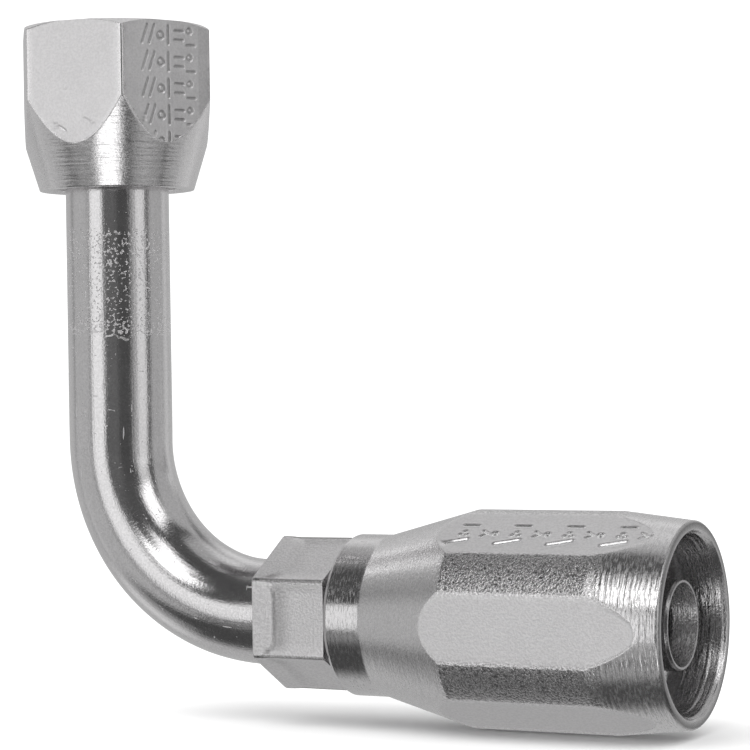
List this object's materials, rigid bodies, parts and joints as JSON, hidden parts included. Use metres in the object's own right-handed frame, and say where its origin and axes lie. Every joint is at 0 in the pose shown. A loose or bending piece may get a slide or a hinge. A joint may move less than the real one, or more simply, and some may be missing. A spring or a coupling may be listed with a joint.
{
  "type": "hydraulic hose end",
  "caption": "Field-attachable hydraulic hose end: 90 degree bent tube with a flared swivel nut on one end and a hexagonal screw-on hose socket on the other.",
  "frame": {"origin": "centre of the flare's lip plane, on the swivel nut's axis, where the mating fitting seats", "axes": "+Z out of the swivel nut's mouth, +X out of the socket's mouth along the hose axis, which lies 63.5 mm below the origin; Y is across the plane of the bend"},
  "size_m": [0.0876, 0.0238, 0.084],
  "materials": {
    "tube": "bright zinc plate over drawn steel tube, mirror-like with fine lengthwise scratches and pits",
    "sleeve": "zinc plate over turned steel",
    "nut": "satin zinc plate on cold-drawn hexagon, turned rear cone",
    "nipple": "satin zinc plate on cold-drawn hexagon, turned stem",
    "braze": "smooth braze fillet under zinc plate",
    "socket": "satin zinc plate on cold-drawn hexagon, turned collar, cone and mouth"
  },
  "bodies": {
    "elbow": {"elbow_tube": "tube", "nipple": "nipple", "braze_ring": "braze"},
    "sleeve": {"flare_sleeve": "sleeve"},
    "nut": {"swivel_nut": "nut"},
    "socket": {"socket": "socket"}
  },
  "joints": [
    {"name": "nut_draw_back", "type": "slide", "parent": "elbow", "child": "sleeve", "axis": [0, 0, 1], "range_m": [-0.03, 0]},
    {"name": "nut_swivel", "type": "hinge", "parent": "sleeve", "child": "nut", "pos_m": [0, 0, -0.009], "axis": [0, 0, 1], "continuous": true},
    {"name": "socket_draw", "type": "slide", "parent": "elbow", "child": "socket", "axis": [1, 0, 0], "range_m": [0, 0.045]}
  ]
}
